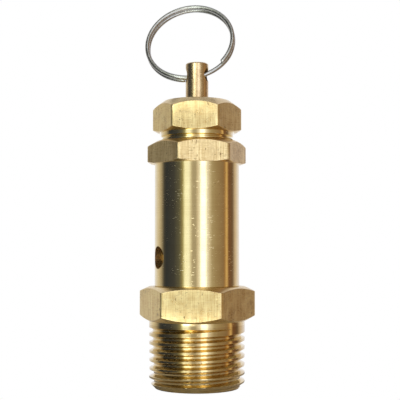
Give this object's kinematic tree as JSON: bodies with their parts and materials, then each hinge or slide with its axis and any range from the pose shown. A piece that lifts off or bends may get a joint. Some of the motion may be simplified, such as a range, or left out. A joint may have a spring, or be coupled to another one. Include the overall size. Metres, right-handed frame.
{
  "type": "pressure relief valve",
  "caption": "Brass pressure relief valve with a taper-threaded inlet, hex body, vented bonnet, spring, hex adjusting cap and a lift stem with a split pull ring.",
  "frame": {"origin": "centre of the inlet end face, where the valve stands", "axes": "+Z along the valve's axis from the inlet to the pull ring, -Y towards the front"},
  "size_m": [0.0252, 0.0232, 0.0857],
  "materials": {
    "brass": "bar brass, machined and tumbled, fine scratches",
    "turned_brass": "bright turned brass",
    "rubber": "moulded black rubber",
    "spring_steel": "drawn spring steel",
    "nickel": "nickel-plated steel wire"
  },
  "bodies": {
    "valve_body": {"inlet_body": "brass", "bonnet": "brass", "main_spring": "spring_steel"},
    "upper_plate": {"spring_plate": "turned_brass"},
    "cap": {"adjusting_cap": "brass"},
    "disc": {"disc_holder": "turned_brass", "seat_seal": "rubber", "seal_retainer": "turned_brass"},
    "stem": {"lift_stem": "turned_brass", "stem_clip": "spring_steel", "stem_washer": "spring_steel"},
    "ring": {"pull_ring": "nickel"}
  },
  "joints": [
    {"name": "preload_slide", "type": "slide", "parent": "valve_body", "child": "upper_plate", "axis": [0, 0, 1], "range_m": [-0.00175, 0.0015]},
    {"name": "cap_turn", "type": "hinge", "parent": "upper_plate", "child": "cap", "pos_m": [0, 0, 0.0587], "axis": [0, 0, 1], "range_deg": [-630, 540]},
    {"name": "lift", "type": "slide", "parent": "valve_body", "child": "disc", "axis": [0, 0, 1], "range_m": [0, 0.0025], "stiffness_N_per_m": 5000, "deforming": ["main_spring"]},
    {"name": "stem_turn", "type": "hinge", "parent": "disc", "child": "stem", "pos_m": [0, 0, 0.0587], "axis": [0, 0, 1], "continuous": true},
    {"name": "ring_swing", "type": "hinge", "parent": "stem", "child": "ring", "pos_m": [0, 0, 0.06807], "axis": [0.9816, -0.1908, 0], "range_deg": [-98, 145]}
  ],
  "couplings": [
    {"joint": "cap_turn", "follows": "preload_slide", "rad_per_m": 6283.2}
  ]
}
